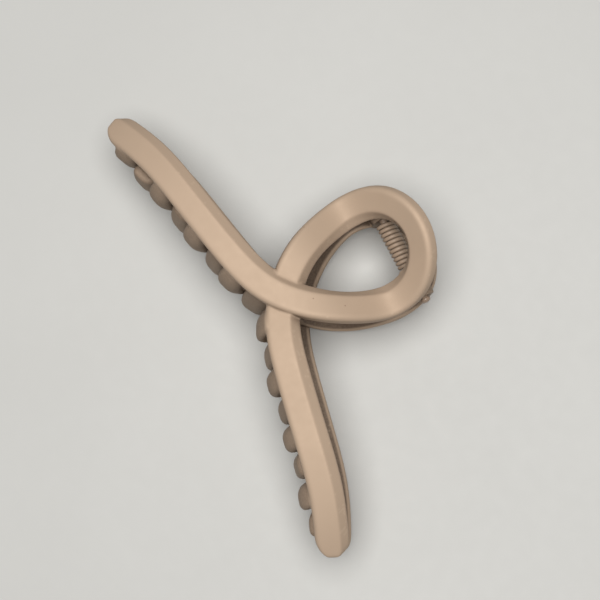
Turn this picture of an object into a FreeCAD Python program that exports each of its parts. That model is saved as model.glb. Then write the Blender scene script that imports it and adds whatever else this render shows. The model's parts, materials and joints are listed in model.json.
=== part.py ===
import FreeCAD, Part
import math
import os

import Sketcher
from FreeCAD import Placement, Rotation, Vector

# Claw clip with a looped ribbon handle, lying on its rear jaw.
# X runs along the hinge, Y from the teeth up to the handle, Z up from the table.
# The origin is the centre of the bounding box's bottom face.
# Each jaw is drawn about the hinge: hinge axis on local X, outer face towards local +Z.

SIZES = {
    # the ribbon that both jaws are made of
    "bar_width": 8.3,
    "bar_thickness": 3.4,
    "chamfer_width": 2.1,
    "chamfer_depth": 2.3,
    "edge_round": 1.3,
    "tip_round": 3.4,
    "crossing_step": 1.5,
    "crossing_reach": 15.0,
    # centreline of the ribbon, seen square on
    "tip_x": 60.1,
    "tip_y": -49.1,
    "outer_arm_x": 47.0,
    "outer_arm_y": -43.4,
    "middle_arm_x": 32.0,
    "middle_arm_y": -39.8,
    "inner_arm_x": 17.0,
    "inner_arm_y": -36.8,
    "neck_x": 4.0,
    "neck_y": -32.7,
    "flank_x": -6.0,
    "flank_y": -24.2,
    "side_x": -11.0,
    "side_y": -14.6,
    "loop_half_width": 12.3,
    "loop_rise": 11.3,
    "loop_centre_y": -5.0,
    # height of the ribbon's inner face above the hinge, along Y
    "foot_row": -54.0,
    "foot_height": 10.2,
    "belly_row": -38.0,
    "belly_height": 13.0,
    "shoulder_row": -22.0,
    "shoulder_height": 10.6,
    "valley_row": -9.0,
    "valley_height": 3.4,
    "hinge_row": 1.0,
    "hinge_height": 7.4,
    "rim_row": 11.0,
    "rim_height": 16.5,
    "tip_droop": 9.3,
    # teeth
    "tooth_count": 8,
    "tooth_first": -52.0,
    "tooth_pitch": 13.9,
    "tooth_width": 6.2,
    "tooth_thickness": 3.2,
    "tooth_round": 2.3,
    "tooth_bulge": 3.6,
    "end_tooth_bulge": 2.0,
    "tooth_widest": 0.42,
    "tooth_root_inset": 1.5,
    "tooth_root_depth": 1.2,
    "tooth_tip_radius": 32.0,
    "tooth_tip_gap": 3.4,
    # hinge
    "lug_radius": 2.8,
    "lug_width": 3.8,
    "lug_gap": 0.3,
    "lug_start": 7.1,
    "lug_rise": 1.4,
    "lug_taper": 2.0,
    "pin_diameter": 2.0,
    "pin_clearance": 0.1,
    "pin_head_diameter": 2.6,
    "pin_head_width": 1.2,
    "pin_round": 0.4,
    # torsion spring
    "wire_diameter": 1.05,
    "coil_radius": 1.98,
    "coil_pitch": 1.14,
    "coil_turns": 11,
    "leg_gap": 0.3,
    # where the hinge axis lies in the part's frame
    "hinge_y": 21.55,
    "hinge_z": 16.77,
}

SECTION_SPACING = 5.0


def make_sheet(doc):
    """Driving dimensions, one aliased cell each."""
    sheet = doc.addObject("Spreadsheet::Sheet", "Sizes")
    for row, (name, value) in enumerate(SIZES.items(), start=1):
        sheet.set(f"A{row}", name)
        sheet.set(f"B{row}", str(value))
        sheet.setAlias(f"B{row}", name)
    doc.recompute()
    return sheet


def plane_of(body, role):
    """One of the body's own origin planes."""
    return next(item for item in body.Origin.OriginFeatures if item.Role == role)


def new_sketch(body, name, offset, role="XY_Plane"):
    """Empty sketch on an origin plane of the body, moved by an offset."""
    sketch = body.newObject("Sketcher::SketchObject", name)
    sketch.AttachmentSupport = [(plane_of(body, role), "")]
    sketch.MapMode = "FlatFace"
    sketch.AttachmentOffset = offset
    return sketch


def bind_all(sketch, sizes):
    """Adds dimensions to the sketch and ties each one to the sheet."""
    for dimension, expression in sizes:
        index = sketch.addConstraint(Sketcher.Constraint(*dimension))
        sketch.setExpression(f"Constraints[{index}]", expression)


def close_loop(sketch, edges, smooth=()):
    """Joins the end of each edge to the start of the next, tangent where an edge is smooth."""
    for here, following in zip(edges, edges[1:] + edges[:1]):
        kind = "Tangent" if here in smooth else "Coincident"
        sketch.addConstraint(Sketcher.Constraint(kind, here, 2, following, 1))


class Curve:
    """Natural cubic spline through a few points."""

    def __init__(self, knots, values):
        self.knots = knots
        self.values = values
        count = len(knots)
        self.bend = [0.0] * count
        slack = [0.0] * count
        for i in range(1, count - 1):
            left = knots[i] - knots[i - 1]
            right = knots[i + 1] - knots[i]
            share = left / (left + right)
            pivot = share * self.bend[i - 1] + 2
            turn = (values[i + 1] - values[i]) / right - (values[i] - values[i - 1]) / left
            self.bend[i] = (share - 1) / pivot
            slack[i] = (6 * turn / (left + right) - share * slack[i - 1]) / pivot
        for i in range(count - 2, -1, -1):
            self.bend[i] = self.bend[i] * self.bend[i + 1] + slack[i]

    def at(self, knot):
        i = 0
        while i < len(self.knots) - 2 and self.knots[i + 1] < knot:
            i += 1
        span = self.knots[i + 1] - self.knots[i]
        a = (self.knots[i + 1] - knot) / span
        b = 1 - a
        bending = (a**3 - a) * self.bend[i] + (b**3 - b) * self.bend[i + 1]
        return a * self.values[i] + b * self.values[i + 1] + bending * span**2 / 6

    def slope(self, knot, step=1e-3):
        return (self.at(knot + step) - self.at(knot - step)) / (2 * step)


class Ribbon:
    """The ribbon's path: tip, crossing, loop, crossing, tip, with the loop's end in the middle."""

    def __init__(self, sheet):
        self.sheet = sheet
        names = ("tip", "outer_arm", "middle_arm", "inner_arm", "neck", "flank", "side")
        half = [(sheet.get(name + "_x"), sheet.get(name + "_y")) for name in names]
        for angle in (180, 150, 120):
            x = sheet.loop_half_width * math.cos(math.radians(angle))
            y = sheet.loop_centre_y + sheet.loop_rise * math.sin(math.radians(angle))
            half.append((x, y))
        end = [(0.0, sheet.loop_centre_y + sheet.loop_rise)]
        points = [(-x, y) for x, y in half] + end + half[::-1]
        reach = [0.0]
        for (x0, y0), (x1, y1) in zip(points, points[1:]):
            reach.append(reach[-1] + math.hypot(x1 - x0, y1 - y0))
        self.length = reach[-1]
        self.x = Curve(reach, [x for x, y in points])
        self.y = Curve(reach, [y for x, y in points])
        rows = ("foot", "belly", "shoulder", "valley", "hinge", "rim")
        self.profile = Curve(
            [sheet.get(name + "_row") for name in rows],
            [sheet.get(name + "_height") for name in rows],
        )
        self.crossing = self.find_crossing()

    def find_crossing(self):
        """Distance along the path at which it first comes back to x = 0."""
        low, high = 0.0, self.length * 0.4
        while high - low > 1e-6:
            middle = (low + high) / 2
            if self.x.at(middle) < 0:
                low = middle
            else:
                high = middle
        return low

    def height(self, x, y):
        """Height of the inner face above the hinge axis."""
        return self.profile.at(y) - self.sheet.tip_droop * (x / self.sheet.tip_x) ** 4

    def dip(self, reach):
        """How far the second strand sinks to pass under the first."""
        away = abs(reach - (self.length - self.crossing)) / self.sheet.crossing_reach
        if away >= 1:
            return 0.0
        return self.sheet.crossing_step * (1 + math.cos(math.pi * away)) / 2

    def point(self, reach):
        x, y = self.x.at(reach), self.y.at(reach)
        return Vector(x, y, self.height(x, y) - self.dip(reach))

    def normal(self, reach):
        """Outward normal of the curved shell that the ribbon lies in."""
        x, y = self.x.at(reach), self.y.at(reach)
        step = 1e-3
        along_x = (self.height(x + step, y) - self.height(x - step, y)) / (2 * step)
        along_y = (self.height(x, y + step) - self.height(x, y - step)) / (2 * step)
        normal = Vector(-along_x, -along_y, 1)
        return normal.normalize()

    def frame(self, reach):
        """Placement of a cross-section: local X to the chamfered side, local Y outwards."""
        step = 1e-2
        ahead = self.point(reach + step) - self.point(reach - step)
        side = self.normal(reach).cross(ahead).normalize()
        outward = ahead.cross(side).normalize()
        turn = Rotation(side, outward, Vector(), "XYZ")
        return Placement(self.point(reach), turn)

    def reach_of(self, x):
        """Distance along the path of the arm's point at x."""
        low, high = (0.0, self.crossing) if x < 0 else (self.length - self.crossing, self.length)
        while high - low > 1e-6:
            middle = (low + high) / 2
            if self.x.at(middle) < x:
                low = middle
            else:
                high = middle
        return low


def bar_section(body, name, sheet, place):
    """Cross-section of the ribbon: flat face, chamfer on one side, rounded edge on the other."""
    half = sheet.bar_width / 2
    top = sheet.bar_thickness
    shoulder = top - sheet.chamfer_depth
    crease = half - sheet.chamfer_width
    soft = sheet.edge_round
    sketch = new_sketch(body, name, place)
    corners = [(-half, 0), (half, 0), (half, shoulder), (crease, top), (soft - half, top)]
    edges = [
        sketch.addGeometry(Part.LineSegment(Vector(*a, 0), Vector(*b, 0)))
        for a, b in zip(corners, corners[1:])
    ]
    centre = Vector(soft - half, top - soft, 0)
    arc = Part.ArcOfCircle(Part.Circle(centre, Vector(0, 0, 1), soft), math.pi / 2, math.pi)
    edges.append(sketch.addGeometry(arc))
    wall = Part.LineSegment(Vector(-half, top - soft, 0), Vector(-half, 0, 0))
    edges.append(sketch.addGeometry(wall))
    base, side, chamfer, face, arc, wall = edges
    close_loop(sketch, edges, smooth=(face, arc))
    sketch.addConstraint(Sketcher.Constraint("Horizontal", base))
    sketch.addConstraint(Sketcher.Constraint("Vertical", side))
    sketch.addConstraint(Sketcher.Constraint("Horizontal", face))
    sketch.addConstraint(Sketcher.Constraint("Vertical", wall))
    sketch.addConstraint(Sketcher.Constraint("PointOnObject", base, 1, -1))
    sizes = [
        (("DistanceX", base, 1, -1, 1, half), "Sizes.bar_width / 2"),
        (("DistanceX", base, 1, base, 2, 2 * half), "Sizes.bar_width"),
        (("DistanceY", side, 1, side, 2, shoulder), "Sizes.bar_thickness - Sizes.chamfer_depth"),
        (("DistanceX", face, 1, side, 2, half - crease), "Sizes.chamfer_width"),
        (("DistanceY", base, 1, face, 1, top), "Sizes.bar_thickness"),
        (("Radius", arc, soft), "Sizes.edge_round"),
    ]
    bind_all(sketch, sizes)
    return sketch


def add_stretch(body, name, sheet, ribbon, start, end):
    """Loft of evenly spaced cross-sections along a stretch of the ribbon."""
    spans = round((end - start) / SECTION_SPACING)
    sections = []
    for i in range(spans + 1):
        reach = start + (end - start) * i / spans
        sections.append(bar_section(body, f"{name}_section_{i}", sheet, ribbon.frame(reach)))
    loft = body.newObject("PartDesign::AdditiveLoft", name)
    loft.Profile = (sections[0], [""])
    loft.Sections = [(section, [""]) for section in sections[1:]]


def round_tip(body, name, sheet, ribbon, reach):
    """Cuts the corners off one end of the ribbon, seen square on."""
    half = sheet.bar_width / 2
    soft = sheet.tip_round
    spare = 2.0
    outward = -1 if reach == 0 else 1
    place = ribbon.frame(reach)
    along = place.Rotation.multVec(Vector(0, 0, outward))
    face = place.Rotation.multVec(Vector(0, 1, 0))
    turn = Rotation(along, Vector(), face, "ZXY")
    sketch = new_sketch(body, name + "_outline", Placement(place.Base, turn))
    for side in (-1, 1):
        near = Vector(-soft, side * half, 0)
        far = Vector(0, side * (half - soft), 0)
        centre = Vector(-soft, far.y, 0)
        middle = centre + Vector(soft, side * soft, 0) / math.sqrt(2)
        outer = side * (half + spare)
        sketch.addGeometry(Part.Arc(near, middle, far))
        outline = [far, Vector(spare, far.y, 0), Vector(spare, outer, 0), Vector(-soft, outer, 0), near]
        for first, second in zip(outline, outline[1:]):
            sketch.addGeometry(Part.LineSegment(first, second))
    cut_through(body, name, sketch)


def cut_through(body, name, sketch):
    """Pocket right through the body, both ways from the sketch."""
    pocket = body.newObject("PartDesign::Pocket", name)
    pocket.Profile = (sketch, [""])
    pocket.Type = "ThroughAll"
    pocket.Midplane = True


def tooth_section(sketch, sheet, y, lean):
    """Level cross-section of a tooth: flat inside, rounded outside, leaning with the arm."""
    half = sheet.tooth_width / 2
    inside = y + sheet.tooth_thickness / 2
    outside = y - sheet.tooth_thickness / 2
    soft = sheet.tooth_round

    def corner(x, y):
        return Vector(x, y + lean * x, 0)

    flat = [
        corner(soft - half, outside),
        corner(half - soft, outside),
        corner(half, outside + soft),
        corner(half, inside),
        corner(-half, inside),
        corner(-half, outside + soft),
    ]
    for first, second in ((0, 1), (2, 3), (3, 4), (4, 5)):
        sketch.addGeometry(Part.LineSegment(flat[first], flat[second]))
    bulge = soft * (1 - math.sqrt(0.5))
    for first, second, side in ((1, 2, 1), (5, 0, -1)):
        middle = corner(side * (half - bulge), outside + bulge)
        sketch.addGeometry(Part.Arc(flat[first], middle, flat[second]))


def add_tooth(body, name, sheet, ribbon, x, bulge):
    """One curved tooth: a tight arc down from the arm, then a slack one to the tip."""
    reach = ribbon.reach_of(x)
    lean = ribbon.y.slope(reach) / ribbon.x.slope(reach)
    edge = ribbon.y.at(reach) - sheet.bar_width / 2 * math.hypot(1, lean)
    inner_face = ribbon.height(x, edge)
    widest = inner_face * sheet.tooth_widest
    y = edge - bulge + sheet.tooth_thickness / 2
    away = edge + sheet.tooth_root_inset - y
    rise = inner_face + sheet.tooth_root_depth - widest
    root_radius = (away**2 + rise**2) / (2 * away)
    tip_radius = sheet.tooth_tip_radius
    fall = widest + inner_face - sheet.tooth_tip_gap
    sketch = new_sketch(body, name + "_section", Placement(Vector(x, 0, widest), Rotation()))
    tooth_section(sketch, sheet, y, lean)
    arcs = (
        ("_root", root_radius, math.asin(rise / root_radius), True),
        ("_tip", tip_radius, math.asin(fall / tip_radius), False),
    )
    for i, (part, radius, sweep, upward) in enumerate(arcs):
        pivot = y + radius
        line = Part.LineSegment(Vector(0, pivot, 0), Vector(sheet.tooth_width, pivot, 0))
        sketch.addGeometry(line, True)
        ring = body.newObject("PartDesign::Revolution", name + part)
        ring.Profile = (sketch, [""])
        ring.ReferenceAxis = (sketch, [f"Axis{i}"])
        ring.Angle = math.degrees(sweep)
        ring.Reversed = upward


def add_lug(body, name, sheet, ribbon, start):
    """Hinge lug: a round-ended plate across the hinge axis, rising into the ribbon."""
    radius = sheet.lug_radius
    shoulder = radius - sheet.lug_taper
    left = ribbon.height(start, -radius) + sheet.lug_rise
    right = ribbon.height(start, shoulder) + sheet.lug_rise
    sketch = new_sketch(body, name + "_outline", Placement(Vector(0, 0, start), Rotation()), "YZ_Plane")
    sketch.addGeometry(
        Part.Arc(Vector(-radius, 0, 0), Vector(0, -radius, 0), Vector(radius, 0, 0)))
    outline = [(radius, 0), (shoulder, right), (-radius, left), (-radius, 0)]
    for first, second in zip(outline, outline[1:]):
        sketch.addGeometry(Part.LineSegment(Vector(*first, 0), Vector(*second, 0)))
    pad = body.newObject("PartDesign::Pad", name)
    pad.Profile = (sketch, [""])
    pad.setExpression("Length", "Sizes.lug_width")


def drill(body, name, sheet, diameter):
    """Bore along the hinge axis through both lugs."""
    sketch = new_sketch(body, name + "_outline", Placement(), "YZ_Plane")
    edge = sketch.addGeometry(Part.Circle(Vector(), Vector(0, 0, 1), sheet.pin_diameter / 2))
    sketch.addConstraint(Sketcher.Constraint("Coincident", edge, 3, -1, 1))
    bind_all(sketch, [(("Diameter", edge, sheet.pin_diameter), diameter)])
    cut_through(body, name, sketch)


def make_jaw(doc, name, sheet, ribbon, bore, place):
    """One jaw: ribbon, rounded tips, teeth, one inner and one outer lug."""
    body = doc.addObject("PartDesign::Body", name)
    body.Label = name
    neck = ribbon.crossing + sheet.loop_half_width
    add_stretch(body, name + "_over_arm", sheet, ribbon, 0, neck)
    add_stretch(body, name + "_loop", sheet, ribbon, neck, ribbon.length - neck)
    add_stretch(body, name + "_under_arm", sheet, ribbon, ribbon.length - neck, ribbon.length)
    doc.recompute()
    round_tip(body, name + "_first_tip", sheet, ribbon, 0)
    round_tip(body, name + "_second_tip", sheet, ribbon, ribbon.length)
    for i in range(int(sheet.tooth_count)):
        x = sheet.tooth_first + sheet.tooth_pitch * i
        bulge = sheet.end_tooth_bulge if i == 0 else sheet.tooth_bulge
        add_tooth(body, f"{name}_tooth_{i}", sheet, ribbon, x, bulge)
    outer_start = -sheet.lug_start - 2 * sheet.lug_width - sheet.lug_gap
    add_lug(body, name + "_inner_lug", sheet, ribbon, sheet.lug_start)
    add_lug(body, name + "_outer_lug", sheet, ribbon, outer_start)
    drill(body, name + "_bore", sheet, bore)
    body.Placement = place
    return body


def make_pin(doc, sheet, place):
    """Hinge pin: a turned shaft with a head at one end."""
    body = doc.addObject("PartDesign::Body", "hinge_pin")
    body.Label = "hinge_pin"
    sketch = new_sketch(body, "hinge_pin_profile", Placement())
    end = sheet.lug_start + 2 * sheet.lug_width + 2 * sheet.lug_gap
    radius = sheet.pin_diameter / 2
    head = sheet.pin_head_diameter / 2
    soft = sheet.pin_round
    far = end + sheet.pin_head_width
    outline = [
        (-end, 0), (-end, radius - soft), (soft - end, radius), (end, radius), (end, head),
        (far - soft, head), (far, head - soft), (far, 0),
    ]
    edges = [
        sketch.addGeometry(Part.LineSegment(Vector(*a, 0), Vector(*b, 0)))
        for a, b in zip(outline, outline[1:] + outline[:1])
    ]
    close_loop(sketch, edges)
    tail, tail_edge, shaft, step, crown, crown_edge, face, axis = edges
    for edge in (tail, step, face):
        sketch.addConstraint(Sketcher.Constraint("Vertical", edge))
    for edge in (shaft, crown, axis):
        sketch.addConstraint(Sketcher.Constraint("Horizontal", edge))
    sketch.addConstraint(Sketcher.Constraint("PointOnObject", tail, 1, -1))
    seat = "Sizes.lug_start + 2 * Sizes.lug_width + 2 * Sizes.lug_gap"
    sizes = [
        (("DistanceX", tail, 1, -1, 1, end), seat),
        (("DistanceX", -1, 1, step, 1, end), seat),
        (("DistanceY", axis, 2, shaft, 1, radius), "Sizes.pin_diameter / 2"),
        (("DistanceY", axis, 2, crown, 1, head), "Sizes.pin_head_diameter / 2"),
        (("DistanceX", step, 1, face, 2, far - end), "Sizes.pin_head_width"),
        (("DistanceX", tail_edge, 1, tail_edge, 2, soft), "Sizes.pin_round"),
        (("DistanceY", tail_edge, 1, tail_edge, 2, soft), "Sizes.pin_round"),
        (("DistanceX", crown_edge, 1, crown_edge, 2, soft), "Sizes.pin_round"),
        (("DistanceY", crown_edge, 2, crown_edge, 1, soft), "Sizes.pin_round"),
    ]
    bind_all(sketch, sizes)
    revolve = body.newObject("PartDesign::Revolution", "hinge_pin_turning")
    revolve.Profile = (sketch, [""])
    revolve.ReferenceAxis = (sketch, ["H_Axis"])
    body.Placement = place
    return body


def add_leg(body, name, sheet, side, length):
    """Straight end of the spring wire, up at one end of the coil and down at the other."""
    half = sheet.coil_pitch * sheet.coil_turns / 2
    sketch = new_sketch(body, name + "_outline", Placement())
    centre = Vector(side * half, sheet.coil_radius, 0)
    edge = sketch.addGeometry(Part.Circle(centre, Vector(0, 0, 1), sheet.wire_diameter / 2))
    across = ("DistanceX", -1, 1, edge, 3, half) if side > 0 else ("DistanceX", edge, 3, -1, 1, half)
    sizes = [
        (across, "Sizes.coil_pitch * Sizes.coil_turns / 2"),
        (("DistanceY", -1, 1, edge, 3, sheet.coil_radius), "Sizes.coil_radius"),
        (("Diameter", edge, sheet.wire_diameter), "Sizes.wire_diameter"),
    ]
    bind_all(sketch, sizes)
    leg = body.newObject("PartDesign::Pad", name)
    leg.Profile = (sketch, [""])
    leg.Length = length
    leg.Reversed = side > 0
    return sketch


def make_spring(doc, sheet, ribbon, place):
    """Left-handed torsion spring round the pin; one leg bears on each jaw's loop."""
    body = doc.addObject("PartDesign::Body", "torsion_spring")
    body.Label = "torsion_spring"
    half = sheet.coil_pitch * sheet.coil_turns / 2
    length = ribbon.height(half, sheet.coil_radius - sheet.wire_diameter / 2) - sheet.leg_gap
    sketch = add_leg(body, "front_leg", sheet, -1, length)
    helix = body.newObject("PartDesign::AdditiveHelix", "coil")
    helix.Profile = (sketch, [""])
    helix.ReferenceAxis = (sketch, ["H_Axis"])
    helix.Mode = "pitch-turns-angle"
    helix.setExpression("Pitch", "Sizes.coil_pitch")
    helix.setExpression("Turns", "Sizes.coil_turns")
    helix.LeftHanded = True
    add_leg(body, "rear_leg", sheet, 1, length)
    body.Placement = place
    return body


def check(doc, parts):
    """Stops on any failed feature or bad shape."""
    for item in doc.Objects:
        if "Invalid" in item.State or "Error" in item.State:
            raise RuntimeError(f"{item.Name} failed: {item.State}")
    for part in parts:
        if part.Shape.isNull() or not part.Shape.isValid():
            raise RuntimeError(f"{part.Label} has a bad shape")
        print(part.Label, len(part.Shape.Solids), "solid", round(part.Shape.Volume, 1), "mm3")


def main():
    doc = FreeCAD.newDocument("claw_clip")
    sheet = make_sheet(doc)
    ribbon = Ribbon(sheet)
    hinge = Vector(0, sheet.hinge_y, sheet.hinge_z)
    upright = Placement(hinge, Rotation())
    turned = Placement(hinge, Rotation(Vector(0, 1, 0), 180))
    loose = "Sizes.pin_diameter + Sizes.pin_clearance"
    parts = [
        make_jaw(doc, "front_jaw", sheet, ribbon, loose, upright),
        make_jaw(doc, "rear_jaw", sheet, ribbon, "Sizes.pin_diameter", turned),
        make_pin(doc, sheet, upright),
        make_spring(doc, sheet, ribbon, upright),
    ]
    doc.recompute()
    check(doc, parts)
    os.makedirs("parts", exist_ok=True)
    for part in parts:
        part.Shape.exportStep(f"parts/{part.Label}.step")


main()
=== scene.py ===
import json
import math

import bpy
import numpy as np
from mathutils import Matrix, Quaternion, Vector


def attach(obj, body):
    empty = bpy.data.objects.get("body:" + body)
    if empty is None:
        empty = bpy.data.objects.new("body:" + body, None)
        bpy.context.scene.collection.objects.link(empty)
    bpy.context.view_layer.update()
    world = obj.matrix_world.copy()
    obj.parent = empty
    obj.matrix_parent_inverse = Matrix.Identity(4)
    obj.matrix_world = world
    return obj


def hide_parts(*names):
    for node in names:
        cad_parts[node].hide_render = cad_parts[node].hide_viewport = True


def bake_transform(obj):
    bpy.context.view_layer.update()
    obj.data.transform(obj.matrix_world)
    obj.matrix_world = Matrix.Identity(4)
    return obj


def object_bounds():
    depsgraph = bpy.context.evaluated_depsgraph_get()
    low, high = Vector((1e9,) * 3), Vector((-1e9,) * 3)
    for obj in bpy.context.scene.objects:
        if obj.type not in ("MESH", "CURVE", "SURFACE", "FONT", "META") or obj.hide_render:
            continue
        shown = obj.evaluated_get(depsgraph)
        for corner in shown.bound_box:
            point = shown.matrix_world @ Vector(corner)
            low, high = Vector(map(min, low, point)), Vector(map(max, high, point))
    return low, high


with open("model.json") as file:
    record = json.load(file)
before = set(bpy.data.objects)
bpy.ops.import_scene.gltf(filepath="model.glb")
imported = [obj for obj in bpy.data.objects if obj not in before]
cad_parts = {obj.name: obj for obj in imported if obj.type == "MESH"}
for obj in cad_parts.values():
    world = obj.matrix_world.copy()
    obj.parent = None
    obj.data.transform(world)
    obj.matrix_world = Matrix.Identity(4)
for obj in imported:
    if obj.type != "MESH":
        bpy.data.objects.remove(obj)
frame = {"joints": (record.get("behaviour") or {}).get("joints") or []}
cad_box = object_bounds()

# Claw clip: two looped jaws, a pin and a torsion spring, lying on the rear jaw.
# Lengths of the clip below are millimetres; MM turns them into the frame's metres.
# Each jaw is shaped about the hinge, with its outer face towards +Z, then put in place.

MM = 0.001
HINGE = np.array(frame["joints"][0]["pos_m"])

# The ribbon's cross-section: a flat face, a chamfer on one side and round edges.
BAR_HALF_WIDTH = 4.15
BAR_THICKNESS = 3.4
CHAMFER_WIDTH = 2.1
CHAMFER_DEPTH = 2.3
FACE_ROUND = 1.3
CHAMFER_ROUND = 0.6
BACK_ROUND = 0.45

# Half of the ribbon's centreline, seen square on, from a tip to the side of the loop.
HALF_PATH = [
    (60.1, -49.1), (47.0, -43.4), (32.0, -39.8), (17.0, -36.8), (4.0, -32.7), (-6.0, -24.2), (-11.0, -14.6),
]
LOOP_HALF_WIDTH = 12.3
LOOP_RISE = 11.3
LOOP_CENTRE = -5.0

# Height of the ribbon's inner face above the hinge, along Y.
HEIGHT_ROWS = [-54.0, -38.0, -22.0, -9.0, 1.0, 11.0]
HEIGHTS = [10.2, 13.0, 10.6, 3.4, 7.4, 16.5]
TIP_DROOP = 9.3
TIP_LENGTH = 4.8
TIP_FULLNESS = 2.0
TIP_CHAMFER_FULLNESS = 3.2
TIP_EDGE = 1.1
TIP_BACK_SHARE = 0.4
TIP_LEAST_WIDTH = 0.05
CROSSING_STEP = 1.5
CROSSING_REACH = 15.0

# Teeth.
TOOTH_COUNT = 8
TOOTH_FIRST = -52.0
TOOTH_PITCH = 13.9
TOOTH_HALF_WIDTH = 3.1
TOOTH_THICKNESS = 3.2
TOOTH_ROUND = 2.3
TOOTH_INNER_ROUND = 0.5
TOOTH_BULGE = 3.6
END_TOOTH_BULGE = 2.0
TOOTH_WIDEST = 0.42
TOOTH_ROOT_INSET = 1.5
TOOTH_ROOT_DEPTH = 1.2
TOOTH_TIP_RADIUS = 32.0
TOOTH_TIP_GAP = 3.4
TOOTH_END_ROUND = 1.2

# Hinge knuckles and pin.
LUG_RADIUS = 2.8
LUG_WIDTH = 3.8
LUG_GAP = 0.3
LUG_START = 7.1
LUG_RISE = 1.4
LUG_TAPER = 2.0
BORE_RADIUS = 1.15
PIN_RADIUS = 1.0
PIN_HEAD_RADIUS = 1.3
PIN_HEAD_WIDTH = 1.2
PIN_HEAD_EDGE = 0.15
PIN_HEAD_SOFT = 0.1
PIN_FILLET = 0.05
PIN_DOME_SHARE = 0.65
PIN_DOME_FLAT = 0.2
PIN_TAIL_ROUND = 0.3
PIN_TAIL_FLAT = 0.25
PIN_SHAFT_START = 1.0

# Torsion spring.
WIRE_RADIUS = 0.525
COIL_RADIUS = 1.98
COIL_PITCH = 1.14
COIL_TURNS = 11
LEG_GAP = 0.1
LEG_START = 0.3
WIRE_END_ROUND = 0.2

# Painted shade: the inner face is painted dark between its rims, where the other jaw shades it, and the
# teeth partly dark, where the arms shade them.
SHADE_FADE = 0.6
RIM_WIDTH = 0.6
RIM_FADE = 0.35
TOOTH_SHADE_SHARE = 0.6
PATH_STEP = 0.25

# Mesh density.
RING_SPACING = 0.6
CORNER_STEPS = 6
TIP_RINGS = 8
TOOTH_ROOT_RINGS = 16
TOOTH_END_RINGS = 6
LUG_SIDES = 96
PIN_SIDES = 40
PIN_TAIL_RINGS = 6
PIN_SHAFT_RINGS = 24
PIN_DOME_RINGS = 9
WIRE_SIDES = 16
TURN_RINGS = 28
LEG_RINGS = 30
VOXEL = 0.25
SOFTEN_STEPS = 9

# Sampling along the ribbon's path. The first strand lies within FIRST_STRAND of its length.
FIRST_STRAND = 0.4
CROSSING_SAMPLES = 4000
ARM_SAMPLES = 2000
SLOPE_STEP = 1e-3
AHEAD_STEP = 0.01
MATCH_BATCHES = 20

# Colours; where there are two, the surface varies between them.
TAN_COAT = ((0.410, 0.306, 0.224), (0.430, 0.322, 0.236))
TAN_SHEEN = (1.0, 0.88, 0.76, 1.0)
# Painted shade for the inner faces and teeth, mottled between two dark browns.
PAINTED_SHADE_TONES = ((0.135, 0.098, 0.072), (0.20, 0.146, 0.107))
# Painted highlight along convex corners and ridges.
EDGE_HIGHLIGHT_TONE = (0.50, 0.385, 0.284)
# Painted shade in each piece's own corners and recesses.
HOLLOW_SHADE_TONE = (0.12, 0.082, 0.056)
DARK_SPECK = (0.16, 0.10, 0.065)
WIRE_COAT = ((0.29, 0.214, 0.155), (0.335, 0.247, 0.179))
WIRE_STAIN = (0.24, 0.18, 0.14)
PIN_COAT = ((0.28, 0.20, 0.147), (0.325, 0.235, 0.172))
PIN_SCUFF = (0.24, 0.19, 0.155)
TABLE_TINT = ((0.475, 0.475, 0.462), (0.490, 0.490, 0.477))

# Stage, in metres, degrees, watts and, for the lens and sensor, millimetres.
CAMERA_PLACE = Vector((0.0502, 0.0054, 0.3665))
CAMERA_TARGET = Vector((0.0010, -0.0063, 0.0168))
CAMERA_ROLL = -41.1
CAMERA_LENS = 84.2
SENSOR_WIDTH = 36.0
LAMP_PLACE = (0.02, 0.03, 0.8)
LAMP_SIZE = 0.6
LAMP_POWER = 9.2
LAMP_COLOUR = (1.0, 0.985, 0.96)
SKY_COLOUR = (0.93, 0.96, 1.0, 1.0)
SKY_STRENGTH = 0.06
TABLE_SIDE = 4.0


# ---- shapes ----------------------------------------------------------------


class Curve:
    """Natural cubic spline through a few points."""

    def __init__(self, knots, values):
        self.knots = np.array(knots, float)
        self.values = np.array(values, float)
        spans = np.diff(self.knots)
        count = len(knots)
        system = np.eye(count)
        turns = np.zeros(count)
        for i in range(1, count - 1):
            system[i, i - 1 : i + 2] = spans[i - 1], 2 * (spans[i - 1] + spans[i]), spans[i]
            slopes = np.diff(self.values[i - 1 : i + 2]) / spans[i - 1 : i + 1]
            turns[i] = 6 * (slopes[1] - slopes[0])
        self.bend = np.linalg.solve(system, turns)

    def at(self, knot):
        i = np.clip(np.searchsorted(self.knots, knot) - 1, 0, len(self.knots) - 2)
        span = self.knots[i + 1] - self.knots[i]
        a = (self.knots[i + 1] - knot) / span
        b = 1 - a
        bending = (a**3 - a) * self.bend[i] + (b**3 - b) * self.bend[i + 1]
        return a * self.values[i] + b * self.values[i + 1] + bending * span**2 / 6


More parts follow.
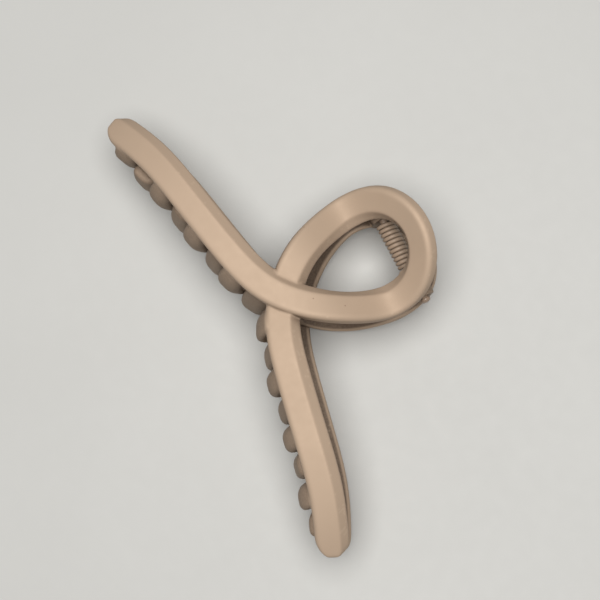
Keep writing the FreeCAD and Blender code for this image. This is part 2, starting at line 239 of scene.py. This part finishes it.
class Ribbon:
    """The ribbon's path: tip, crossing, loop, crossing, tip."""

    def __init__(self):
        half = list(HALF_PATH)
        for angle in (180, 150, 120):
            turn = math.radians(angle)
            half.append((LOOP_HALF_WIDTH * math.cos(turn), LOOP_CENTRE + LOOP_RISE * math.sin(turn)))
        end = [(0.0, LOOP_CENTRE + LOOP_RISE)]
        points = np.array([(-x, y) for x, y in half] + end + half[::-1])
        steps = np.hypot(*np.diff(points, axis=0).T)
        reach = np.concatenate([[0], np.cumsum(steps)])
        self.length = reach[-1]
        self.x = Curve(reach, points[:, 0])
        self.y = Curve(reach, points[:, 1])
        self.profile = Curve(HEIGHT_ROWS, HEIGHTS)
        samples = np.linspace(0, self.length * FIRST_STRAND, CROSSING_SAMPLES)
        self.crossing = np.interp(0, self.x.at(samples), samples)

    def height(self, x, y):
        """Height of the inner face above the hinge."""
        return self.profile.at(y) - TIP_DROOP * (x / HALF_PATH[0][0]) ** 4

    def dip(self, reach):
        """How far the second strand sinks to pass under the first."""
        away = np.abs(reach - (self.length - self.crossing)) / CROSSING_REACH
        return CROSSING_STEP * (1 + np.cos(math.pi * np.minimum(away, 1))) / 2

    def point(self, reach):
        x, y = self.x.at(reach), self.y.at(reach)
        return np.array([x, y, self.height(x, y) - self.dip(reach)])

    def axes(self, reach):
        """Unit vectors at a point of the path: to the chamfered side, and outwards."""
        x, y = self.x.at(reach), self.y.at(reach)
        step = SLOPE_STEP
        along_x = (self.height(x + step, y) - self.height(x - step, y)) / (2 * step)
        along_y = (self.height(x, y + step) - self.height(x, y - step)) / (2 * step)
        ahead = self.point(reach + AHEAD_STEP) - self.point(reach - AHEAD_STEP)
        side = np.cross([-along_x, -along_y, 1], ahead)
        side /= np.linalg.norm(side)
        outward = np.cross(ahead, side)
        return side, outward / np.linalg.norm(outward)

    def reach_of(self, x):
        """Distance along the path of the arm's point at x."""
        if x < 0:
            reach = np.linspace(0, self.crossing, ARM_SAMPLES)
        else:
            reach = np.linspace(self.length - self.crossing, self.length, ARM_SAMPLES)
        return np.interp(x, self.x.at(reach), reach)


def rounded(corners, radii, steps=CORNER_STEPS):
    """Outline of a polygon whose corners are arcs."""
    outline = []
    corners = [np.array(corner, float) for corner in corners]
    for i, (corner, radius) in enumerate(zip(corners, radii)):
        before = corners[i - 1] - corner
        after = corners[(i + 1) % len(corners)] - corner
        before /= np.linalg.norm(before)
        after /= np.linalg.norm(after)
        half = math.acos(np.clip(before @ after, -1, 1)) / 2
        middle = (before + after) / np.linalg.norm(before + after)
        centre = corner + middle * radius / math.sin(half)
        start = corner + before * radius / math.tan(half) - centre
        end = corner + after * radius / math.tan(half) - centre
        turn = math.pi - 2 * half
        for step in range(steps + 1):
            share = step / steps
            arc = math.sin((1 - share) * turn) * start + math.sin(share * turn) * end
            outline.append(centre + arc / math.sin(turn))
    return np.array(outline)


def sweep(rings, closed=True):
    """Vertices and faces of a tube through rings of points, with flat ends."""
    count = len(rings[0])
    vertices = np.concatenate(rings)
    faces = []
    for i in range(len(rings) - 1):
        for j in range(count):
            k = (j + 1) % count
            faces.append((i * count + j, i * count + k, (i + 1) * count + k, (i + 1) * count + j))
    if closed:
        last = (len(rings) - 1) * count
        faces.append(tuple(reversed(range(count))))
        faces.append(tuple(range(last, last + count)))
    return vertices, faces


def join(shapes):
    """One list of vertices and faces from several."""
    vertices, faces, start = [], [], 0
    for points, polygons in shapes:
        vertices.append(points)
        faces += [tuple(start + i for i in polygon) for polygon in polygons]
        start += len(points)
    return np.concatenate(vertices), faces


def round_off(distance, radius):
    """How far an edge of this radius has fallen back at a distance from its end."""
    left = max(0.0, radius - distance)
    return radius - math.sqrt(max(0.0, radius**2 - left**2))


def tip_width(to_end, fullness):
    """Share of the ribbon's half width this near its end; fullness 2 is an ellipse, more is squarer."""
    left = max(0.0, 1 - to_end / TIP_LENGTH)
    return max(TIP_LEAST_WIDTH, (1 - left**fullness) ** (1 / fullness))


def bar_shape(ribbon):
    """The ribbon, swept along its path, with rounded tips."""
    corners = [
        (-BAR_HALF_WIDTH, 0),
        (BAR_HALF_WIDTH, 0),
        (BAR_HALF_WIDTH, BAR_THICKNESS - CHAMFER_DEPTH),
        (BAR_HALF_WIDTH - CHAMFER_WIDTH, BAR_THICKNESS),
        (-BAR_HALF_WIDTH, BAR_THICKNESS),
    ]
    section = rounded(corners, [BACK_ROUND, BACK_ROUND, CHAMFER_ROUND, CHAMFER_ROUND, FACE_ROUND])
    count = round(ribbon.length / RING_SPACING)
    near = TIP_LENGTH * (1 - np.cos(np.linspace(0, math.pi / 2, TIP_RINGS, endpoint=False)))
    reaches = np.concatenate([
        near,
        np.linspace(TIP_LENGTH, ribbon.length - TIP_LENGTH, count),
        (ribbon.length - near)[::-1],
    ])
    rings = []
    for reach in reaches:
        side, outward = ribbon.axes(reach)
        to_end = min(reach, ribbon.length - reach)
        on_chamfer = section[:, 0] > 0
        width = np.where(
            on_chamfer, tip_width(to_end, TIP_CHAMFER_FULLNESS), tip_width(to_end, TIP_FULLNESS))
        edge = round_off(to_end, TIP_EDGE)
        lift = np.clip(section[:, 1], edge * TIP_BACK_SHARE, BAR_THICKNESS - edge)
        rings.append(ribbon.point(reach) + np.outer(section[:, 0] * width, side) + np.outer(lift, outward))
    return sweep(rings)


def tooth_shape(ribbon, x, bulge):
    """One curved tooth: a tight arc down from the arm, then a slack one to the rounded tip."""
    reach = ribbon.reach_of(x)
    step = SLOPE_STEP
    lean = (ribbon.y.at(reach + step) - ribbon.y.at(reach - step)) / (
        ribbon.x.at(reach + step) - ribbon.x.at(reach - step))
    edge = ribbon.y.at(reach) - BAR_HALF_WIDTH * math.hypot(1, lean)
    inner_face = ribbon.height(x, edge)
    widest = inner_face * TOOTH_WIDEST
    y = edge - bulge + TOOTH_THICKNESS / 2
    away = edge + TOOTH_ROOT_INSET - y
    rise = inner_face + TOOTH_ROOT_DEPTH - widest
    root_radius = (away**2 + rise**2) / (2 * away)
    fall = widest + inner_face - TOOTH_TIP_GAP
    half = TOOTH_THICKNESS / 2
    corners = [
        (-TOOTH_HALF_WIDTH, -half),
        (TOOTH_HALF_WIDTH, -half),
        (TOOTH_HALF_WIDTH, half),
        (-TOOTH_HALF_WIDTH, half),
    ]
    section = rounded(corners, [TOOTH_ROUND, TOOTH_ROUND, TOOTH_INNER_ROUND, TOOTH_INNER_ROUND])
    root_sweep = math.asin(rise / root_radius)
    tip_sweep = math.asin(fall / TOOTH_TIP_RADIUS)
    tip_arc = TOOTH_TIP_RADIUS * tip_sweep
    stations = [(root_radius, angle, 0.0) for angle in np.linspace(root_sweep, 0, TOOTH_ROOT_RINGS)]
    for distance in np.concatenate([
        np.arange(RING_SPACING, tip_arc - TOOTH_END_ROUND, RING_SPACING),
        tip_arc - TOOTH_END_ROUND * np.cos(np.linspace(0, math.pi / 2, TOOTH_END_RINGS)),
    ]):
        inset = round_off(tip_arc - distance, TOOTH_END_ROUND)
        stations.append((TOOTH_TIP_RADIUS, -distance / TOOTH_TIP_RADIUS, inset))
    rings = []
    for radius, angle, inset in stations:
        across = section[:, 0] * (1 - inset / TOOTH_HALF_WIDTH)
        depth = section[:, 1] * (1 - inset / half)
        arm = radius - depth - lean * across
        rings.append(np.stack([
            x + across,
            y + radius - arm * math.cos(angle),
            widest + arm * math.sin(angle),
        ], axis=1))
    return sweep(rings)


def lug_shape(ribbon, start):
    """A hinge knuckle with its bore: a round-ended plate that rises into the ribbon."""
    shoulder = LUG_RADIUS - LUG_TAPER
    left = ribbon.height(start, -LUG_RADIUS) + LUG_RISE
    right = ribbon.height(start, shoulder) + LUG_RISE
    corners = np.array([(LUG_RADIUS, 0), (shoulder, right), (-LUG_RADIUS, left), (-LUG_RADIUS, 0)])
    walls = []
    for first, second in zip(corners, corners[1:]):
        normal = np.array([(second - first)[1], -(second - first)[0]])
        walls.append(normal / (normal @ first))
    inner, outer = [], []
    for angle in np.linspace(0, 2 * math.pi, LUG_SIDES, endpoint=False):
        ray = np.array([math.cos(angle), math.sin(angle)])
        reach = LUG_RADIUS if ray[1] <= 0 else 1 / max(wall @ ray for wall in walls)
        inner.append(ray * BORE_RADIUS)
        outer.append(ray * reach)
    end = start + LUG_WIDTH
    loop = [(start, outer), (end, outer), (end, inner), (start, inner), (start, outer)]
    rings = [np.array([(x, *point) for point in ring]) for x, ring in loop]
    return sweep(rings, closed=False)


def pin_shape():
    """The pin, turned from rod: a rounded tail, a step and a domed head."""
    end = LUG_START + 2 * LUG_WIDTH + 2 * LUG_GAP
    head_end = end + PIN_HEAD_WIDTH
    dome = PIN_HEAD_WIDTH * PIN_DOME_SHARE
    soft = PIN_TAIL_ROUND
    profile = [(-end, PIN_TAIL_FLAT), (-end, PIN_RADIUS - soft)]
    for angle in np.linspace(0, math.pi / 2, PIN_TAIL_RINGS)[1:]:
        profile.append((-end + soft * (1 - math.cos(angle)), PIN_RADIUS - soft * (1 - math.sin(angle))))
    for x in np.linspace(-end + PIN_SHAFT_START, end - PIN_HEAD_EDGE, PIN_SHAFT_RINGS):
        profile.append((x, PIN_RADIUS))
    profile.append((end, PIN_RADIUS + PIN_FILLET))
    profile.append((end + PIN_FILLET, PIN_HEAD_RADIUS - PIN_HEAD_SOFT))
    profile.append((end + PIN_HEAD_EDGE, PIN_HEAD_RADIUS))
    for angle in np.linspace(0, math.pi / 2, PIN_DOME_RINGS):
        radius = max(PIN_DOME_FLAT, PIN_HEAD_RADIUS * math.cos(angle))
        profile.append((head_end - dome * (1 - math.sin(angle)), radius))
    turn = np.linspace(0, 2 * math.pi, PIN_SIDES, endpoint=False)
    rings = []
    for x, radius in profile:
        across = np.full(PIN_SIDES, x)
        rings.append(np.stack([across, radius * np.cos(turn), radius * np.sin(turn)], axis=1))
    return sweep(rings)


def spring_shape(ribbon):
    """Left-handed coil of round wire with a straight leg up at one end and down at the other."""
    half = COIL_PITCH * COIL_TURNS / 2
    leg = ribbon.height(half, COIL_RADIUS - WIRE_RADIUS) - LEG_GAP
    legs = np.linspace(leg, LEG_START, LEG_RINGS)
    centre = [(-half, COIL_RADIUS, z) for z in legs]
    steps = TURN_RINGS * COIL_TURNS
    for step in range(steps + 1):
        turn = 2 * math.pi * COIL_TURNS * step / steps
        x = -half + COIL_PITCH * COIL_TURNS * step / steps
        centre.append((x, COIL_RADIUS * math.cos(turn), -COIL_RADIUS * math.sin(turn)))
    centre += [(half, COIL_RADIUS, -z) for z in legs[::-1]]
    centre = np.array(centre)
    ahead = np.gradient(centre, axis=0)
    ahead /= np.linalg.norm(ahead, axis=1)[:, None]
    around = np.linspace(0, 2 * math.pi, WIRE_SIDES, endpoint=False)
    rings = []
    for i, (point, along) in enumerate(zip(centre, ahead)):
        side = np.array([1, 0, 0]) - along[0] * along
        side /= np.linalg.norm(side)
        other = np.cross(along, side)
        to_end = min(np.linalg.norm(point - centre[0]), np.linalg.norm(point - centre[-1]))
        radius = WIRE_RADIUS - round_off(to_end, WIRE_END_ROUND)
        rings.append(point + radius * (np.outer(np.cos(around), side) + np.outer(np.sin(around), other)))
    return sweep(rings)


# ---- pieces ----------------------------------------------------------------


def facing(turned):
    """Signs that turn the rear jaw half round about Y."""
    return np.array([-1, 1, -1]) if turned else np.ones(3)


def in_place(vertices, turned):
    """From millimetres about the hinge to the frame."""
    return vertices * facing(turned) * MM + HINGE


def make_piece(name, shape, turned=False):
    vertices, faces = shape
    mesh = bpy.data.meshes.new(name)
    mesh.from_pydata(in_place(vertices, turned).tolist(), [], faces)
    mesh.validate()
    piece = bpy.data.objects.new(name, mesh)
    bpy.context.scene.collection.objects.link(piece)
    for polygon in mesh.polygons:
        polygon.use_smooth = True
    return piece


def fuse(piece):
    """Melts overlapping shapes into one skin with soft inner corners, as a moulding has."""
    remesh = piece.modifiers.new("fuse", "REMESH")
    remesh.mode = "VOXEL"
    remesh.voxel_size = VOXEL * MM
    remesh.use_smooth_shade = True
    soften = piece.modifiers.new("soften", "SMOOTH")
    soften.factor = 0.5
    soften.iterations = SOFTEN_STEPS
    bpy.context.view_layer.update()
    evaluated = piece.evaluated_get(bpy.context.evaluated_depsgraph_get())
    fused = bpy.data.meshes.new_from_object(evaluated)
    piece.modifiers.clear()
    piece.data = fused


def mark_painted_shade(jaw, ribbon, turned):
    """Writes how much painted shade each point gets, as the attribute that the plastic reads.

    It is 1 on the inner face, TOOTH_SHADE_SHARE on teeth, and 0 outside and on the rims.
    """
    reaches = np.arange(0, ribbon.length, PATH_STEP)
    centres = np.array([ribbon.point(reach) for reach in reaches])
    sides, outwards = np.array([ribbon.axes(reach) for reach in reaches]).transpose(1, 0, 2)
    points = np.empty(len(jaw.data.vertices) * 3)
    jaw.data.vertices.foreach_get("co", points)
    points = (points.reshape(-1, 3) - HINGE) / MM * facing(turned)
    shares = []
    for some in np.array_split(points, MATCH_BATCHES):
        nearest = np.linalg.norm(some[:, None] - centres, axis=2).argmin(axis=1)
        away = some - centres[nearest]
        across = np.abs((away * sides[nearest]).sum(axis=1))
        depth = -(away * outwards[nearest]).sum(axis=1)
        from_rim = BAR_HALF_WIDTH - RIM_WIDTH - across
        face = np.clip(depth / SHADE_FADE + 1, 0, 1) * np.clip(from_rim / RIM_FADE, 0, 1)
        beyond = np.maximum(depth - RIM_FADE, across - BAR_HALF_WIDTH)
        tooth = TOOTH_SHADE_SHARE * np.clip(beyond / RIM_FADE, 0, 1)
        shares.append(np.maximum(np.where(depth > RIM_FADE, 0, face), tooth))
    jaw.data.attributes.new("painted_shade_share", "FLOAT", "POINT").data.foreach_set("value", np.concatenate(shares))


def make_jaw(name, ribbon, turned):
    shapes = [bar_shape(ribbon)]
    for i in range(TOOTH_COUNT):
        bulge = END_TOOTH_BULGE if i == 0 else TOOTH_BULGE
        shapes.append(tooth_shape(ribbon, TOOTH_FIRST + TOOTH_PITCH * i, bulge))
    shapes.append(lug_shape(ribbon, LUG_START))
    shapes.append(lug_shape(ribbon, -LUG_START - 2 * LUG_WIDTH - LUG_GAP))
    jaw = make_piece(name, join(shapes), turned)
    fuse(jaw)
    mark_painted_shade(jaw, ribbon, turned)
    return jaw


# ---- materials -------------------------------------------------------------


class Nodes:
    """Short ways to build a material's node tree."""

    def __init__(self, name):
        self.material = bpy.data.materials.new(name)
        self.material.use_nodes = True
        self.tree = self.material.node_tree
        self.shader = self.tree.nodes["Principled BSDF"]
        coordinates = self.tree.nodes.new("ShaderNodeTexCoord")
        self.position = coordinates.outputs["Object"]

    def link(self, source, target):
        self.tree.links.new(source, target)

    def noise(self, size_mm, detail=3.0, roughness=0.5):
        """Noise whose features are about this many millimetres across."""
        node = self.tree.nodes.new("ShaderNodeTexNoise")
        node.inputs["Scale"].default_value = 1 / (size_mm * MM)
        node.inputs["Detail"].default_value = detail
        node.inputs["Roughness"].default_value = roughness
        self.link(self.position, node.inputs["Vector"])
        return node.outputs["Fac"]

    def remap(self, value, from_low, from_high, to_low, to_high):
        node = self.tree.nodes.new("ShaderNodeMapRange")
        node.inputs["From Min"].default_value = from_low
        node.inputs["From Max"].default_value = from_high
        node.inputs["To Min"].default_value = to_low
        node.inputs["To Max"].default_value = to_high
        self.link(value, node.inputs["Value"])
        return node.outputs["Result"]

    def mix(self, share, first, second):
        """Blend of two colours; each is a colour or a socket."""
        node = self.tree.nodes.new("ShaderNodeMix")
        node.data_type = "RGBA"
        self.link(share, node.inputs["Factor"])
        for socket, colour in ((node.inputs["A"], first), (node.inputs["B"], second)):
            if isinstance(colour, tuple):
                socket.default_value = (*colour, 1.0)
            else:
                self.link(colour, socket)
        return node.outputs["Result"]

    def specks(self, spacing_mm, size_mm):
        """1 inside small scattered dots, 0 outside."""
        node = self.tree.nodes.new("ShaderNodeTexVoronoi")
        node.inputs["Scale"].default_value = 1 / (spacing_mm * MM)
        self.link(self.position, node.inputs["Vector"])
        radius = size_mm / spacing_mm / 2
        return self.remap(node.outputs["Distance"], radius * 0.6, radius, 1.0, 0.0)

    def openness(self, reach_mm):
        """1 on open surfaces, towards 0 deep in the piece's own corners."""
        node = self.tree.nodes.new("ShaderNodeAmbientOcclusion")
        node.samples = 8
        node.only_local = True
        node.inputs["Distance"].default_value = reach_mm * MM
        return node.outputs["AO"]

    def bump(self, height, depth_mm, before=None):
        node = self.tree.nodes.new("ShaderNodeBump")
        node.inputs["Strength"].default_value = 1.0
        node.inputs["Distance"].default_value = depth_mm * MM
        self.link(height, node.inputs["Height"])
        if before is not None:
            self.link(before, node.inputs["Normal"])
        return node.outputs["Normal"]


def soft_touch_plastic():
    """Moulded plastic under a matte tan coat, with painted highlights a little lighter on its convex
    corners and ridges, and painted shade on its inner faces, teeth and deep recesses.
    """
    nodes = Nodes("soft_touch_tan")
    shader = nodes.shader
    shader.inputs["Metallic"].default_value = 0.13
    shader.inputs["Specular IOR Level"].default_value = 0.4
    shader.inputs["Specular Tint"].default_value = TAN_SHEEN

    clouds = nodes.remap(nodes.noise(18.0), 0.3, 0.7, 0.0, 1.0)
    coat = nodes.mix(clouds, *TAN_COAT)
    # Painted shade: inner faces and teeth go towards a mottled dark brown, by the share that the jaws carry
    # as an attribute.
    painted_shade_share = nodes.tree.nodes.new("ShaderNodeAttribute")
    painted_shade_share.attribute_name = "painted_shade_share"
    shade_mottle = nodes.remap(nodes.noise(0.45, detail=2.0), 0.35, 0.65, 0.0, 1.0)
    painted_shade_tone = nodes.mix(shade_mottle, *PAINTED_SHADE_TONES)
    coat_with_painted_shade = nodes.mix(painted_shade_share.outputs["Fac"], coat, painted_shade_tone)
    # Painted highlight: convex corners and ridges, found by pointiness, go a little lighter.
    geometry = nodes.tree.nodes.new("ShaderNodeNewGeometry")
    edge_highlight = nodes.remap(geometry.outputs["Pointiness"], 0.53, 0.59, 0.0, 0.35)
    with_edge_highlight = nodes.mix(edge_highlight, coat_with_painted_shade, EDGE_HIGHLIGHT_TONE)
    # Painted shade: the piece's own corners and recesses, found by ambient occlusion, go darker.
    hollow_shade = nodes.remap(nodes.openness(12.0), 0.92, 0.5, 0.0, 1.0)
    with_hollow_shade = nodes.mix(hollow_shade, with_edge_highlight, HOLLOW_SHADE_TONE)
    spotted = nodes.mix(nodes.specks(8.0, 0.34), with_hollow_shade, DARK_SPECK)
    nodes.link(spotted, shader.inputs["Base Color"])

    nodes.link(nodes.remap(nodes.noise(2.2), 0.3, 0.7, 0.60, 0.68), shader.inputs["Roughness"])
    waves = nodes.bump(nodes.noise(7.0, detail=2.0), 0.012)
    skin = nodes.bump(nodes.noise(0.28, detail=2.0), 0.006, before=waves)
    nodes.link(skin, shader.inputs["Normal"])
    return nodes.material


def coated_wire():
    """Spring wire under a tan coat that is darker in small scattered patches."""
    nodes = Nodes("coated_wire")
    shader = nodes.shader
    shader.inputs["Specular IOR Level"].default_value = 0.45
    patches = nodes.remap(nodes.noise(1.4), 0.35, 0.65, 0.0, 1.0)
    coat = nodes.mix(patches, *WIRE_COAT)
    stains = nodes.remap(nodes.noise(0.6, detail=4.0), 0.62, 0.72, 0.0, 0.5)
    nodes.link(nodes.mix(stains, coat, WIRE_STAIN), shader.inputs["Base Color"])
    nodes.link(nodes.remap(nodes.noise(0.8), 0.3, 0.7, 0.45, 0.6), shader.inputs["Roughness"])
    nodes.link(nodes.bump(nodes.noise(0.2, detail=2.0), 0.006), shader.inputs["Normal"])
    return nodes.material


def coated_pin():
    """Steel pin under a tan coat with small scattered scuffs."""
    nodes = Nodes("coated_pin")
    shader = nodes.shader
    shader.inputs["Specular IOR Level"].default_value = 0.5
    patches = nodes.remap(nodes.noise(0.9), 0.35, 0.65, 0.0, 1.0)
    coat = nodes.mix(patches, *PIN_COAT)
    scuffs = nodes.remap(nodes.noise(0.35, detail=5.0), 0.60, 0.72, 0.0, 0.6)
    nodes.link(nodes.mix(scuffs, coat, PIN_SCUFF), shader.inputs["Base Color"])
    nodes.link(nodes.remap(nodes.noise(0.5), 0.3, 0.7, 0.30, 0.46), shader.inputs["Roughness"])
    nodes.link(nodes.bump(nodes.noise(0.15, detail=3.0), 0.008), shader.inputs["Normal"])
    return nodes.material


def pale_table():
    """Plain pale surface under the clip."""
    nodes = Nodes("pale_table")
    nodes.shader.inputs["Specular IOR Level"].default_value = 0.2
    tint = nodes.remap(nodes.noise(60.0), 0.3, 0.7, 0.0, 1.0)
    nodes.link(nodes.mix(tint, *TABLE_TINT), nodes.shader.inputs["Base Color"])
    nodes.link(nodes.remap(nodes.noise(4.0), 0.3, 0.7, 0.55, 0.65), nodes.shader.inputs["Roughness"])
    nodes.link(nodes.bump(nodes.noise(1.2), 0.01), nodes.shader.inputs["Normal"])
    return nodes.material


# ---- stage -----------------------------------------------------------------


def make_table():
    bpy.ops.mesh.primitive_plane_add(size=TABLE_SIDE, location=(0, 0, cad_box[0].z))
    table = bpy.context.object
    table.name = "table"
    table.data.materials.append(pale_table())


def make_camera():
    """Camera almost overhead, rolled as in the picture."""
    camera = bpy.data.objects.new("camera", bpy.data.cameras.new("camera"))
    camera.data.lens = CAMERA_LENS
    camera.data.sensor_width = SENSOR_WIDTH
    camera.location = CAMERA_PLACE
    camera.rotation_mode = "QUATERNION"
    aim = (CAMERA_TARGET - CAMERA_PLACE).to_track_quat("-Z", "Y")
    camera.rotation_quaternion = aim @ Quaternion((0, 0, 1), math.radians(CAMERA_ROLL))
    bpy.context.scene.collection.objects.link(camera)
    bpy.context.scene.camera = camera


def make_light(name, location, size, watts, colour):
    light = bpy.data.lights.new(name, "AREA")
    light.shape = "DISK"
    light.size = size
    light.energy = watts
    light.color = colour
    lamp = bpy.data.objects.new(name, light)
    lamp.location = location
    lamp.rotation_mode = "QUATERNION"
    lamp.rotation_quaternion = (-Vector(location)).to_track_quat("-Z", "Y")
    bpy.context.scene.collection.objects.link(lamp)


def make_world():
    world = bpy.data.worlds.new("studio")
    world.use_nodes = True
    background = world.node_tree.nodes["Background"]
    background.inputs["Color"].default_value = SKY_COLOUR
    background.inputs["Strength"].default_value = SKY_STRENGTH
    bpy.context.scene.world = world


def main():
    ribbon = Ribbon()
    plastic = soft_touch_plastic()

    front = make_jaw("front_jaw_moulding", ribbon, turned=False)
    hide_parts("front_jaw")
    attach(front, "front_half")
    rear = make_jaw("rear_jaw_moulding", ribbon, turned=True)
    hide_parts("rear_jaw")
    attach(rear, "rear_half")
    for jaw in (front, rear):
        jaw.data.materials.append(plastic)

    pin = make_piece("hinge_pin_turned", pin_shape())
    pin.data.materials.append(coated_pin())
    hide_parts("hinge_pin")
    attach(pin, "rear_half")

    spring = make_piece("torsion_spring_wire", spring_shape(ribbon))
    spring.data.materials.append(coated_wire())
    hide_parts("torsion_spring")
    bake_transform(spring)

    make_table()
    make_camera()
    make_light("overhead", LAMP_PLACE, LAMP_SIZE, LAMP_POWER, LAMP_COLOUR)
    make_world()
    bpy.context.scene.view_settings.view_transform = "Standard"


main()
